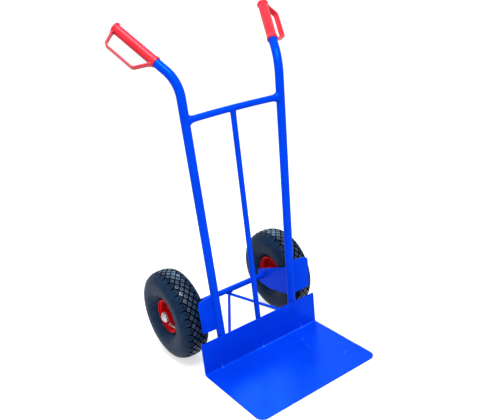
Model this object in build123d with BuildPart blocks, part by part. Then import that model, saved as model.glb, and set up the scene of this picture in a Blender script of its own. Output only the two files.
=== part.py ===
from build123d import *
import os
from math import cos, radians, sin, sqrt

# Two-wheeled hand truck. Millimetres, +Z up, the load side faces -Y, X runs across.
# The origin is on the ground, in the middle of the truck's footprint.

# ---- wheels and axle ----
TYRE_RADIUS = 150
TYRE_WIDTH = 100
TREAD_HALF = 37                 # half the width of the nearly flat crown
TREAD_DROP = 9                  # fall of the crown from its middle to its edge
SHOULDER_RADIUS = 125
WIDEST_RADIUS = 104
SIDEWALL_ROOT = 60              # radius at which the sidewall meets the bead
TYRE_SKIN = 9
TRACK_HALF = 215                # from the truck's middle to a wheel's middle
AXLE_SETBACK = 178              # axle behind the toe plate's load face
AXLE_HEIGHT = TYRE_RADIUS
AXLE_RADIUS = 10
RUNNING_GAP = 0.05              # radial play of a bush on the axle
FACE_GAP = 0.3                  # end play between parts that turn and parts that stand still
WELD_GAP = 0.05                 # play of a welded or pushed-on joint

# ---- toe plate ----
TOE_WIDTH = 460
TOE_DEPTH = 290
FLANGE_HEIGHT = 115
SHEET = 3
FOLD_RADIUS = 7.5               # at the middle of the sheet
TOE_CORNER_RADIUS = 26
FLANGE_CORNER_RADIUS = 4

# ---- tubes ----
SIDE_TUBE_RADIUS = 13.4
CROSS_TUBE_RADIUS = 10
CENTRE_TUBE_RADIUS = 8.6
TUBE_WALL = 2
TUBE_FOOT = 4                   # the tubes end this far above the ground
SIDE_HALF_AT_GROUND = 141.3     # half the spacing of the side tubes at z = 0
SIDE_SPLAY = 0.0346             # sideways travel of a side tube for each unit of height
CROSS_HEIGHT = 810
CROSS_BOW = 12
BEND_HEIGHT = 921               # where the upright's and the handle's centre lines meet
BEND_RADIUS = 100
HANDLE_REACH = (83, 165, 150)   # outwards, back and up from the bend to the grip's end
BRACE_ROD_RADIUS = 5
BRACE_OVERRUN = 0.05            # share of its length that a rod is drawn past each end and cut back
BRACE_FOOT_HEIGHT = 77
BRACE_FOOT_HALF = 126

# ---- plates welded to the side tubes ----
BRACKET_THICKNESS = 4
BRACKET_TAIL = 24               # the bracket's rear edge is this far behind the axle
BRACKET_HEEL = 37               # where its lower edge turns, ahead of the axle
BRACKET_TOP_FRONT = 235
BRACKET_TOP_REAR = 168
BRACKET_FOOT_REAR = 119
BRACKET_FOOT_HEEL = 112
BRACKET_FOOT_FRONT = 131
BRACKET_TOP_RADIUS = 4
BRACKET_FOOT_RADIUS = 16
BRACKET_HEEL_RADIUS = 60
GUARD_THICKNESS = 4
GUARD_REACH = 70                # from the side tube's centre line to the guard's outer edge
GUARD_TURN = 9.6                # degrees that the outer edge is turned towards the load
GUARD_TOP = 260
GUARD_FOOT_INNER = 137
GUARD_FOOT_OUTER = 150
GUARD_TOP_RADIUS = 14
GUARD_FOOT_RADIUS = 8

# ---- grips ----
GRIP_LENGTH = 157
GRIP_RADIUS = 15.4
GRIP_END_WALL = 4
GRIP_COLLAR_RADIUS = 17.8
GRIP_COLLAR_LENGTH = 6
GRIP_CUFF_RADIUS = 16.8
GRIP_CUFF_LENGTH = 9
KNUCKLE_REACH = 55.5            # from the grip's centre line to the middle of the strap
KNUCKLE_STRAP = 5
KNUCKLE_WIDTH = 18
KNUCKLE_ROOT = 3                # depth of the strap's ends in the sleeve
KNUCKLE_BEND = 11
KNUCKLE_START = 8               # along the grip: the strap's lower end, its bends and upper end
KNUCKLE_LOW = 36
KNUCKLE_HIGH = 138
KNUCKLE_END = GRIP_LENGTH - 5
KNUCKLE_OUT = 0.853             # direction in which the strap stands off the grip
KNUCKLE_BACK = 0.018
KNUCKLE_DOWN = 0.522

# ---- wheel parts, measured outwards from the wheel's middle plane ----
RIM_SHEET = 2
RIM_BARREL_RADIUS = 48.5
RIM_LIP_RADIUS = 57.5
RIM_HALF_WIDTH = 32
RIM_FLANGE = 28.5               # the barrel turns up into the flange here
RIM_FLANGE_RADIUS = 8
HUB_RADIUS = 19
HUB_BORE_RADIUS = 15
HUB_HALF_LENGTH = 36.5
BUSH_LENGTH = 24
BUSH_FLANGE = 1.5
WASHER_THICKNESS = 1.5
WASHER_RADIUS = 17
SPACER_RADIUS = 14
CAP_RADIUS = 17
CAP_HEIGHT = 9.5
CAP_ROOM = 3.5                  # from the axle's end to the cap's top, inside
CAP_RIM = 2                     # straight edge of the cap before its dome
CAP_SHEET = 1.2
BOLT_COUNT = 4
BOLT_CIRCLE_RADIUS = 31.5
BOLT_RADIUS = 4
BOLT_HEAD_ACROSS_FLATS = 13
BOLT_HEAD_HEIGHT = 5.3
NUT_HEIGHT = 6.5
BOLT_END = 3                    # thread that stands out of the nut
TUBE_MIDDLE_RADIUS = 99
TUBE_SECTION_RADIUS = 38
TUBE_SKIN = 1.5
BEAD_RADIUS = 51
BEAD_TOE = 17
BEAD_HALF_WIDTH = 25
VALVE_RADIUS = 4.6
VALVE_LENGTH = 24
VALVE_ROOT_OFFSET = 10
VALVE_ROOT_RADIUS = 52
VALVE_LEAN = 36                 # degrees that the valve leans out of the rim
VALVE_CAP_RADIUS = 6
VALVE_CAP_LENGTH = 9
VALVE_ANGLE = -75               # about the axle from the load side, below the horizontal

# ---- worked-out places ----
LOAD_FACE = (TOE_DEPTH - AXLE_SETBACK - TYRE_RADIUS) / 2     # Y of the flange's front face
TOE_FRONT = LOAD_FACE - TOE_DEPTH
FLANGE_BACK = LOAD_FACE + SHEET
AXLE_Y = LOAD_FACE + AXLE_SETBACK
SIDE_TUBE_Y = FLANGE_BACK + SIDE_TUBE_RADIUS
BUSH_END = HUB_HALF_LENGTH + BUSH_FLANGE

os.makedirs("parts", exist_ok=True)


def save(piece, name):
    """Label a finished sub-part and write its STEP file."""
    piece.part.label = name
    export_step(piece.part, f"parts/{name}.step")


def side_half(height):
    """Distance from the truck's middle to a side tube's centre line at a height."""
    return SIDE_HALF_AT_GROUND + SIDE_SPLAY * height


# ---- toe plate: one folded sheet ----
with BuildPart() as toe_plate:
    with BuildSketch(Plane.YZ):
        with BuildLine():
            FilletPolyline(
                (TOE_FRONT, SHEET / 2),
                (FLANGE_BACK - SHEET / 2, SHEET / 2),
                (FLANGE_BACK - SHEET / 2, FLANGE_HEIGHT),
                radius=FOLD_RADIUS,
            )
        trace(line_width=SHEET)
    extrude(amount=TOE_WIDTH / 2, both=True)
    front_corners = toe_plate.edges().filter_by(Axis.Z).group_by(Axis.Y)[0]
    fillet(front_corners, radius=TOE_CORNER_RADIUS)
    flange_corners = toe_plate.edges().filter_by(Axis.Y).group_by(Axis.Z)[-1]
    fillet(flange_corners, radius=FLANGE_CORNER_RADIUS)
save(toe_plate, "toe_plate")


# ---- tubes ----
def side_path(side):
    """Corner points of a side tube's centre line: foot, bend and handle end."""
    out, back, up = HANDLE_REACH
    reach = sqrt(out**2 + back**2 + up**2)
    inside_grip = (reach - GRIP_END_WALL - WELD_GAP) / reach
    bend = Vector(side * side_half(BEND_HEIGHT), SIDE_TUBE_Y, BEND_HEIGHT)
    foot = Vector(side * side_half(TUBE_FOOT), SIDE_TUBE_Y, TUBE_FOOT)
    return foot, bend, bend + Vector(side * out, back, up) * inside_grip


def bar(points, radius, bend_radius=0):
    """A solid round bar along a line through points, used to cope the ends of other parts."""
    with BuildPart() as solid_bar:
        with BuildLine() as path:
            if bend_radius:
                FilletPolyline(*points, radius=bend_radius)
            else:
                Polyline(*points)
        with BuildSketch(Plane(origin=path.line @ 0, z_dir=path.line % 0)):
            Circle(radius)
        sweep()
    return solid_bar.part


def side_tube(side):
    with BuildPart() as tube:
        with BuildLine() as path:
            FilletPolyline(*side_path(side), radius=BEND_RADIUS)
        with BuildSketch(Plane(origin=path.line @ 0, z_dir=path.line % 0)):
            Circle(SIDE_TUBE_RADIUS)
            Circle(SIDE_TUBE_RADIUS - TUBE_WALL, mode=Mode.SUBTRACT)
        sweep()
    return tube


side_bars = {side: bar(side_path(side)[:2], SIDE_TUBE_RADIUS) for side in (-1, 1)}
for side, word in ((-1, "left"), (1, "right")):
    save(side_tube(side), f"side_tube_{word}")

cross_end = (side_half(CROSS_HEIGHT), SIDE_TUBE_Y, CROSS_HEIGHT)
cross_middle = (0, SIDE_TUBE_Y + CROSS_BOW, CROSS_HEIGHT)
with BuildPart() as cross_tube:
    with BuildLine() as cross_path:
        ThreePointArc((-cross_end[0], *cross_end[1:]), cross_middle, cross_end)
    with BuildSketch(Plane(origin=cross_path.line @ 0, z_dir=cross_path.line % 0)):
        Circle(CROSS_TUBE_RADIUS)
        Circle(CROSS_TUBE_RADIUS - TUBE_WALL, mode=Mode.SUBTRACT)
    sweep()
    add(list(side_bars.values()), mode=Mode.SUBTRACT)
save(cross_tube, "upper_cross_tube")

# The centre tube leans back from the flange to the bowed middle of the cross tube.
centre_foot = (0, FLANGE_BACK + CENTRE_TUBE_RADIUS + WELD_GAP, TUBE_FOOT)
cross_bar = bar([(-30, *cross_middle[1:]), (30, *cross_middle[1:])], CROSS_TUBE_RADIUS + WELD_GAP)
with BuildPart() as centre_tube:
    with BuildLine() as centre_path:
        Line(centre_foot, cross_middle)
    with BuildSketch(Plane(origin=centre_path.line @ 0, z_dir=centre_path.line % 0)):
        Circle(CENTRE_TUBE_RADIUS)
        Circle(CENTRE_TUBE_RADIUS - TUBE_WALL, mode=Mode.SUBTRACT)
    sweep()
    add(cross_bar, mode=Mode.SUBTRACT)
save(centre_tube, "centre_tube")


# ---- axle and its brackets ----
def axle_plane(offset):
    """Sketch plane square to the axle, at a distance from the truck's middle."""
    return Plane(origin=(offset, AXLE_Y, AXLE_HEIGHT), x_dir=(0, 1, 0), z_dir=(1, 0, 0))


cap_start = TRACK_HALF + BUSH_END + 2 * FACE_GAP + WASHER_THICKNESS
axle_half = cap_start + CAP_HEIGHT - CAP_SHEET - CAP_ROOM
with BuildPart() as axle_shaft:
    with BuildSketch(axle_plane(0)):
        Circle(AXLE_RADIUS)
    extrude(amount=axle_half, both=True)
    chamfer(axle_shaft.edges().filter_by(GeomType.CIRCLE), length=1)
save(axle_shaft, "axle_shaft")

bracket_middle = side_half(AXLE_HEIGHT + 30)
weld_depth = 8                  # a plate's outline starts this far from a side tube's centre line


def axle_bracket(side):
    """Upright plate from the back of a side tube to the axle, rounded at its lower rear."""
    front = SIDE_TUBE_Y + weld_depth
    with BuildPart() as plate:
        with BuildSketch(Plane.YZ.offset(side * bracket_middle)):
            with BuildLine():
                edge = FilletPolyline(
                    (front, BRACKET_TOP_FRONT),
                    (AXLE_Y + BRACKET_TAIL, BRACKET_TOP_REAR),
                    (AXLE_Y + BRACKET_TAIL, BRACKET_FOOT_REAR),
                    (AXLE_Y - BRACKET_HEEL, BRACKET_FOOT_HEEL),
                    (front, BRACKET_FOOT_FRONT),
                    radius=[BRACKET_TOP_RADIUS, BRACKET_FOOT_RADIUS, BRACKET_HEEL_RADIUS],
                )
                Line(edge @ 1, edge @ 0)
            make_face()
        extrude(amount=BRACKET_THICKNESS / 2, both=True)
        with BuildSketch(axle_plane(0)):
            Circle(AXLE_RADIUS + WELD_GAP)
        extrude(amount=TRACK_HALF, both=True, mode=Mode.SUBTRACT)
        add(side_bars[side], mode=Mode.SUBTRACT)
    return plate


# ---- wheel guards ----
def wheel_guard(side):
    """Flat plate on the outside of a side tube, its outer edge turned towards the load."""
    turn = radians(GUARD_TURN)
    along = Vector(side * SIDE_SPLAY, 0, 1).normalized()
    normal = Vector(side * cos(turn), -sin(turn), 0).cross(along)
    tube_at_ground = (side * side_half(0), SIDE_TUBE_Y, 0)
    with BuildPart() as plate:
        with BuildSketch(Plane(origin=tube_at_ground, x_dir=along.cross(normal), z_dir=normal)):
            with BuildLine():
                edge = FilletPolyline(
                    (weld_depth, GUARD_FOOT_INNER),
                    (GUARD_REACH, GUARD_FOOT_OUTER),
                    (GUARD_REACH, GUARD_TOP),
                    (weld_depth, GUARD_TOP),
                    radius=[GUARD_FOOT_RADIUS, GUARD_TOP_RADIUS],
                )
                Line(edge @ 1, edge @ 0)
            make_face()
        extrude(amount=GUARD_THICKNESS / 2, both=True)
        add(side_bars[side], mode=Mode.SUBTRACT)
    return plate


# ---- brace rods: a V from under the middle of the axle to the back of the flange ----
brace_top_height = AXLE_HEIGHT - AXLE_RADIUS - BRACE_ROD_RADIUS - WELD_GAP
brace_top = Vector(0, AXLE_Y, brace_top_height)


def brace_rod(side):
    foot = Vector(side * BRACE_FOOT_HALF, FLANGE_BACK, BRACE_FOOT_HEIGHT)
    overrun = (foot - brace_top) * BRACE_OVERRUN
    with BuildPart() as rod:
        with BuildLine() as path:
            Line(brace_top - overrun, foot + overrun)
        with BuildSketch(Plane(origin=path.line @ 0, z_dir=path.line % 0)):
            Circle(BRACE_ROD_RADIUS)
        sweep()
        # The rods meet in the truck's middle plane, and their feet lie flat on the flange.
        with BuildSketch(Plane.XY.offset(-1)):
            with Locations((side * TOE_WIDTH / 4, (FLANGE_BACK + AXLE_Y) / 2)):
                Rectangle(TOE_WIDTH / 2, AXLE_Y - FLANGE_BACK)
        extrude(amount=2 * AXLE_HEIGHT, mode=Mode.INTERSECT)
    return rod


# ---- grips: a closed sleeve with a knuckle strap on its outer side ----
def grip(side):
    out, back, up = HANDLE_REACH
    axis = Vector(side * out, back, up).normalized()
    end = side_path(side)[1] + Vector(side * out, back, up)
    start = end - axis * GRIP_LENGTH
    strap_side = Vector(side * KNUCKLE_OUT, KNUCKLE_BACK, -KNUCKLE_DOWN)
    across = (strap_side - axis * strap_side.dot(axis)).normalized()
    lengthwise = Plane(origin=start, x_dir=across, z_dir=across.cross(axis))
    with BuildPart() as sleeve:
        with BuildSketch(lengthwise):
            with BuildLine():
                FilletPolyline(
                    (GRIP_RADIUS - KNUCKLE_ROOT, KNUCKLE_START),
                    (KNUCKLE_REACH, KNUCKLE_LOW),
                    (KNUCKLE_REACH, KNUCKLE_HIGH),
                    (GRIP_RADIUS - KNUCKLE_ROOT, KNUCKLE_END),
                    radius=KNUCKLE_BEND,
                )
            trace(line_width=KNUCKLE_STRAP)
        extrude(amount=KNUCKLE_WIDTH / 2, both=True)
        fillet(sleeve.edges().filter_by(GeomType.LINE), radius=1.5)
        with BuildSketch(lengthwise):
            with BuildLine():
                outline = FilletPolyline(
                    (0, 0),
                    (GRIP_CUFF_RADIUS, 0),
                    (GRIP_CUFF_RADIUS, GRIP_CUFF_LENGTH),
                    (GRIP_RADIUS, GRIP_CUFF_LENGTH + 2),
                    (GRIP_RADIUS, GRIP_LENGTH - GRIP_COLLAR_LENGTH - 2),
                    (GRIP_COLLAR_RADIUS, GRIP_LENGTH - GRIP_COLLAR_LENGTH),
                    (GRIP_COLLAR_RADIUS, GRIP_LENGTH),
                    (0, GRIP_LENGTH),
                    radius=[1.5, 1, 1, 1, 1, 2.5],
                )
                Line(outline @ 1, outline @ 0)
            make_face()
        revolve(axis=Axis(start, axis))
        with BuildSketch(Plane(origin=start, x_dir=across, z_dir=axis)):
            Circle(SIDE_TUBE_RADIUS + WELD_GAP)
        extrude(amount=GRIP_LENGTH - GRIP_END_WALL, mode=Mode.SUBTRACT)
    return sleeve


for side, word in ((-1, "left"), (1, "right")):
    save(axle_bracket(side), f"axle_bracket_{word}")
    save(wheel_guard(side), f"wheel_guard_{word}")
    save(brace_rod(side), f"brace_rod_{word}")
    save(grip(side), f"grip_{word}")


# ---- sketches below are drawn with x outwards from a plane across the axle and y along a radius ----
def wheel_plane(side, middle=TRACK_HALF):
    return Plane(origin=(side * middle, AXLE_Y, AXLE_HEIGHT), x_dir=(side, 0, 0), z_dir=(0, -side, 0))


def wheel_axis():
    return Axis((0, AXLE_Y, AXLE_HEIGHT), (1, 0, 0))


# ---- rings on the axle, placed by their distances from the truck's middle ----
def axle_ring(side, inner_end, outer_end, radius):
    with BuildPart() as ring:
        with BuildSketch(axle_plane(side * inner_end)):
            Circle(radius)
            Circle(AXLE_RADIUS + WELD_GAP, mode=Mode.SUBTRACT)
        extrude(amount=side * (outer_end - inner_end))
    return ring


def dome_radius(edge_radius, lower=0):
    """Radius of the sphere through the cap's straight edge and its top."""
    rise = CAP_HEIGHT - CAP_RIM - lower
    return (edge_radius**2 + rise**2) / (2 * rise)


def axle_cap(side):
    """Domed cap pushed on the axle's end: a thin dome closed by a ring that grips the shaft."""
    with BuildPart() as cap:
        with BuildSketch(wheel_plane(side, cap_start)):
            with BuildLine():
                inner = CAP_RADIUS - CAP_SHEET
                inner_top = CAP_HEIGHT - CAP_SHEET
                Polyline(
                    (CAP_SHEET, inner),
                    (CAP_SHEET, AXLE_RADIUS + WELD_GAP),
                    (0, AXLE_RADIUS + WELD_GAP),
                    (0, CAP_RADIUS),
                    (CAP_RIM, CAP_RADIUS),
                )
                RadiusArc((CAP_RIM, CAP_RADIUS), (CAP_HEIGHT, 0), dome_radius(CAP_RADIUS))
                Line((CAP_HEIGHT, 0), (inner_top, 0))
                RadiusArc((inner_top, 0), (CAP_RIM, inner), -dome_radius(inner, CAP_SHEET))
                Line((CAP_RIM, inner), (CAP_SHEET, inner))
            make_face()
        revolve(axis=wheel_axis())
    return cap


bush_inner = TRACK_HALF - BUSH_END
bush_outer = TRACK_HALF + BUSH_END
for side, word in ((-1, "left"), (1, "right")):
    inner_washer_end = bush_inner - FACE_GAP
    spacer_end = inner_washer_end - WASHER_THICKNESS
    spacer_start = bracket_middle + BRACKET_THICKNESS / 2
    outer_washer_start = bush_outer + FACE_GAP
    outer_washer_end = outer_washer_start + WASHER_THICKNESS
    save(axle_ring(side, spacer_start, spacer_end, SPACER_RADIUS), f"axle_spacer_{word}")
    save(axle_ring(side, spacer_end, inner_washer_end, WASHER_RADIUS), f"inner_washer_{word}")
    save(axle_ring(side, outer_washer_start, outer_washer_end, WASHER_RADIUS), f"outer_washer_{word}")
    save(axle_cap(side), f"axle_cap_{word}")


# ---- wheels ----
def spoke_plane(side, offset, angle):
    """Plane across the axle at an offset from the wheel's middle, turned about the axle.

    Its x points along a radius at the angle, from the load side upwards.
    """
    turn = radians(angle)
    return Plane(origin=(side * (TRACK_HALF + offset), AXLE_Y, AXLE_HEIGHT),
                 x_dir=(0, -cos(turn), sin(turn)), z_dir=(side, 0, 0))


def tyre(side):
    with BuildPart() as ring:
        with BuildSketch(wheel_plane(side)):
            with BuildLine():
                crown_edge = (TREAD_HALF, TYRE_RADIUS - TREAD_DROP)
                widest = (TYRE_WIDTH / 2, WIDEST_RADIUS)
                ThreePointArc((0, TYRE_RADIUS), (21, TYRE_RADIUS - 2), crown_edge)
                ThreePointArc(crown_edge, (47.5, SHOULDER_RADIUS), widest)
                ThreePointArc(widest, (45, 80), (BEAD_HALF_WIDTH, SIDEWALL_ROOT))
                Line((BEAD_HALF_WIDTH, SIDEWALL_ROOT), (BEAD_HALF_WIDTH, BEAD_RADIUS))
                Line((BEAD_HALF_WIDTH, BEAD_RADIUS), (BEAD_TOE, BEAD_RADIUS))
                Line((BEAD_TOE, BEAD_RADIUS), (BEAD_TOE + 2, SIDEWALL_ROOT + 4))
                inner_widest = (TYRE_WIDTH / 2 - 7, WIDEST_RADIUS)
                ThreePointArc((BEAD_TOE + 2, SIDEWALL_ROOT + 4), (39, 83), inner_widest)
                ThreePointArc(inner_widest, (34, 131), (0, TYRE_RADIUS - TYRE_SKIN))
                mirror(about=Plane.YZ)
            make_face()
        revolve(axis=wheel_axis())
    return ring


def inner_tube(side):
    with BuildPart() as ring:
        with BuildSketch(wheel_plane(side)):
            with Locations((0, TUBE_MIDDLE_RADIUS)):
                Circle(TUBE_SECTION_RADIUS)
                Circle(TUBE_SECTION_RADIUS - TUBE_SKIN, mode=Mode.SUBTRACT)
        revolve(axis=wheel_axis())
    return ring


def rim_half(side, face):
    """One pressed half of the rim; face is 1 for the half away from the frame, -1 for the other."""
    with BuildPart() as pressing:
        with BuildSketch(wheel_plane(side)):
            with BuildLine():
                FilletPolyline(
                    (face * RIM_SHEET / 2, HUB_RADIUS + WELD_GAP),
                    (face * RIM_SHEET / 2, RIM_BARREL_RADIUS - 4),
                    (face * RIM_FLANGE, RIM_BARREL_RADIUS),
                    (face * RIM_FLANGE, RIM_LIP_RADIUS),
                    (face * RIM_HALF_WIDTH, RIM_LIP_RADIUS),
                    radius=[5, RIM_FLANGE_RADIUS, 1.5],
                )
            trace(line_width=RIM_SHEET)
        revolve(axis=wheel_axis())
        with BuildSketch(spoke_plane(side, 0, 0)):
            with PolarLocations(BOLT_CIRCLE_RADIUS, BOLT_COUNT, start_angle=0):
                Circle(BOLT_RADIUS + 0.25)
        extrude(amount=2 * RIM_SHEET, both=True, mode=Mode.SUBTRACT)
        if face > 0:
            with BuildSketch(valve_plane(side)):
                Circle(VALVE_RADIUS + 1)
            extrude(amount=VALVE_LENGTH, mode=Mode.SUBTRACT)
    return pressing


def hub_tube(side):
    with BuildPart() as hub:
        with BuildSketch(spoke_plane(side, 0, 0)):
            Circle(HUB_RADIUS)
            Circle(HUB_BORE_RADIUS, mode=Mode.SUBTRACT)
        extrude(amount=HUB_HALF_LENGTH, both=True)
    return hub


def hub_bushes(side):
    """Two flanged plastic bushes pushed into the ends of the hub."""
    with BuildPart() as bushes:
        for end in (-1, 1):
            with BuildSketch(wheel_plane(side)):
                with BuildLine():
                    Polyline(
                        (end * (HUB_HALF_LENGTH - BUSH_LENGTH), AXLE_RADIUS + RUNNING_GAP),
                        (end * (HUB_HALF_LENGTH - BUSH_LENGTH), HUB_BORE_RADIUS - WELD_GAP),
                        (end * (HUB_HALF_LENGTH + WELD_GAP), HUB_BORE_RADIUS - WELD_GAP),
                        (end * (HUB_HALF_LENGTH + WELD_GAP), HUB_RADIUS - 2),
                        (end * BUSH_END, HUB_RADIUS - 2),
                        (end * BUSH_END, AXLE_RADIUS + RUNNING_GAP),
                        close=True,
                    )
                make_face()
            revolve(axis=wheel_axis())
    return bushes


def rim_bolts(side):
    """Hexagon bolts with their heads on the outside of the rim's joined discs."""
    with BuildPart() as bolts:
        with BuildSketch(spoke_plane(side, RIM_SHEET, 0)):
            with PolarLocations(BOLT_CIRCLE_RADIUS, BOLT_COUNT, start_angle=0):
                RegularPolygon(BOLT_HEAD_ACROSS_FLATS / 2, 6, major_radius=False)
        extrude(amount=BOLT_HEAD_HEIGHT)
        with BuildSketch(spoke_plane(side, RIM_SHEET, 0)):
            with PolarLocations(BOLT_CIRCLE_RADIUS, BOLT_COUNT, start_angle=0):
                Circle(BOLT_RADIUS)
        extrude(amount=-(2 * RIM_SHEET + NUT_HEIGHT + BOLT_END))
    return bolts


def rim_nuts(side):
    with BuildPart() as nuts:
        with BuildSketch(spoke_plane(side, -RIM_SHEET, 0)):
            with PolarLocations(BOLT_CIRCLE_RADIUS, BOLT_COUNT, start_angle=0):
                RegularPolygon(BOLT_HEAD_ACROSS_FLATS / 2, 6, major_radius=False)
                Circle(BOLT_RADIUS + WELD_GAP, mode=Mode.SUBTRACT)
        extrude(amount=-NUT_HEIGHT)
    return nuts


def valve_plane(side):
    """Plane across the valve at its root on the inner tube, looking out of the rim."""
    turn = radians(VALVE_ANGLE)
    lean = radians(VALVE_LEAN)
    radial = Vector(0, -cos(turn), sin(turn))
    outwards = Vector(side, 0, 0)
    hub = Vector(side * TRACK_HALF, AXLE_Y, AXLE_HEIGHT)
    root = hub + outwards * VALVE_ROOT_OFFSET + radial * VALVE_ROOT_RADIUS
    return Plane(origin=root, z_dir=outwards * sin(lean) - radial * cos(lean))


def valve_piece(side, start, length, radius):
    with BuildPart() as piece:
        with BuildSketch(valve_plane(side).offset(start)):
            Circle(radius)
        extrude(amount=length)
        chamfer(piece.edges().filter_by(GeomType.CIRCLE), length=0.6)
    return piece


for side, word in ((-1, "left"), (1, "right")):
    save(tyre(side), f"tyre_{word}")
    save(inner_tube(side), f"inner_tube_{word}")
    save(rim_half(side, 1), f"rim_outer_half_{word}")
    save(rim_half(side, -1), f"rim_inner_half_{word}")
    save(hub_tube(side), f"hub_tube_{word}")
    save(hub_bushes(side), f"hub_bushes_{word}")
    save(rim_bolts(side), f"rim_bolts_{word}")
    save(rim_nuts(side), f"rim_nuts_{word}")
    save(valve_piece(side, 0, VALVE_LENGTH, VALVE_RADIUS), f"valve_stem_{word}")
    save(valve_piece(side, VALVE_LENGTH, VALVE_CAP_LENGTH, VALVE_CAP_RADIUS), f"valve_cap_{word}")
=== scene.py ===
from math import atan2, cos, pi, radians, sin, sqrt, tan

import bmesh
import bpy
import numpy as np
from mathutils import Matrix, Vector


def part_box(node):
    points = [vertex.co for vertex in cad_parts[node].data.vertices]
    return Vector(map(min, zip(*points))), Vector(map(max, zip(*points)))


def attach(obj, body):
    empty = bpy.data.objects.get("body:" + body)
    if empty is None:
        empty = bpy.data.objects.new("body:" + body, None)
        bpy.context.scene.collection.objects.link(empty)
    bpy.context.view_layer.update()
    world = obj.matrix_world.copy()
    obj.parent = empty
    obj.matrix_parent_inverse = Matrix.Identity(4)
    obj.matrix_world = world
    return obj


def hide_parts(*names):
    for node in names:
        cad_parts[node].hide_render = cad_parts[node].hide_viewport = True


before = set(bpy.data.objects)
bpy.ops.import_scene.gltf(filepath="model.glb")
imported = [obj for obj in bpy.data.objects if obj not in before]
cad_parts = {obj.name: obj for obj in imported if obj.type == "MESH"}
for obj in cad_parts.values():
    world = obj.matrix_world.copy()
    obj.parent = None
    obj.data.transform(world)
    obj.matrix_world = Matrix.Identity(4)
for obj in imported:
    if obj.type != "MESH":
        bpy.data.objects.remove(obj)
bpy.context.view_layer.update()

# Hand truck, in metres: +Z up, the load side faces -Y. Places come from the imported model's boxes,
# and the sizes that a box does not show are named here.

# ---- the frame's own places ----
axle_low, axle_high = (np.array(corner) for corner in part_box("axle_shaft"))
toe_low, toe_high = (np.array(corner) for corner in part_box("toe_plate"))
tyre_low, tyre_high = (np.array(corner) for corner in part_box("tyre_right"))
AXLE = (axle_low + axle_high) / 2
AXLE_RADIUS = (axle_high[2] - axle_low[2]) / 2
AXLE_END = axle_high[0]
TRACK = (tyre_low[0] + tyre_high[0]) / 2
TYRE_RADIUS = 0.150
TYRE_HALF_WIDTH = 0.050
SHEET = 0.003  # the toe plate's steel
TOE_HALF = toe_high[0]
TOE_FRONT = toe_low[1]
TOE_BACK = toe_high[1]
FLANGE_TOP = toe_high[2]

# ---- tubes ----
SIDE_RADIUS = 0.0134
CROSS_RADIUS = 0.010
CENTRE_RADIUS = 0.0086
TUBE_WALL = 0.002
TUBE_FOOT = 0.004
SIDE_AT_GROUND = 0.1413
SIDE_SPLAY = 0.0346
CROSS_HEIGHT = 0.810
CROSS_BOW = 0.012  # how far the cross tube's middle lies behind its ends
BEND_HEIGHT = 0.921  # where a side tube's straight lines would meet
BEND_RADIUS = 0.100
HANDLE_REACH = np.array((0.083, 0.165, 0.150))
SIDE_Y = TOE_BACK + SIDE_RADIUS
ROD_RADIUS = 0.005
ROD_FOOT = np.array((0.126, TOE_BACK, 0.077))
FOLD_RADIUS = 0.0075  # at the middle of the toe plate's sheet
TOE_CORNER = 0.026
FLANGE_CORNER = 0.004
SEAMS = (-0.166, 0.0, 0.166)  # where stiffeners under the plate meet its fold

# ---- plates ----
PLATE = 0.004
GUARD_REACH = 0.070
GUARD_TURN = radians(9.6)

# ---- grips ----
GRIP_LENGTH = 0.157
GRIP_RADIUS = 0.0154
CUFF_RADIUS = 0.0168
COLLAR_RADIUS = 0.0178
GRIP_WALL = 0.004
STRAP_REACH = 0.0555
STRAP_THICKNESS = 0.005
STRAP_WIDTH = 0.018
STRAP_LOW, STRAP_HIGH = 0.036, 0.138  # along the grip, where the strap's corners are
STRAP_SIDE = np.array((0.853, 0.018, -0.522))

# ---- wheels ----
HUB_RADIUS = 0.019
HUB_HALF = 0.0365
LIP_RADIUS = 0.0575
RIM_HALF = 0.032
RIM_FLANGE = 0.0285  # the barrel turns up into the flange here
BARREL_RADIUS = 0.0485
RIM_SHEET = 0.002
BOLT_CIRCLE = 0.0315
BOLT_FLATS = 0.013
BOLT_HEAD = 0.0053
NUT_HEIGHT = 0.0065
THREAD_RADIUS = 0.0039
THREAD_PITCH = 0.00125
VALVE_ROOT = 0.010, 0.052  # outwards from the wheel's middle, and off its axle
VALVE_ANGLE = radians(-75)
VALVE_LEAN = radians(36)
TREAD_COUNT = 34  # diamonds in one row round the tyre
TREAD_DEPTH = 0.0058
TREAD_EDGE = 0.0365  # the outer blocks run on into the shoulder here
ROW_SPACING = 0.0103
GROOVE = 0.0047
TREAD_ROWS = 6
TREAD_START = {-1: radians(40.0), 1: radians(34.7)}  # where each tyre's first block lies
SHOULDER_SHADE = 0.72
# A block's rings: size, depth below the tread's top, and paleness, which is painted shade, least in the
# groove and the dimple.
BLOCK_RINGS = ((1.07, TREAD_DEPTH + 0.0008, 0.0), (1.0, 0.0006, 0.55), (0.94, 0.0, 1.0),
               (0.34, 0.0, 0.95), (0.24, 0.0009, 0.6), (0.0, 0.0012, 0.5))

SIDES = ((-1, "left"), (1, "right"))
TURN = 2 * pi


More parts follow.
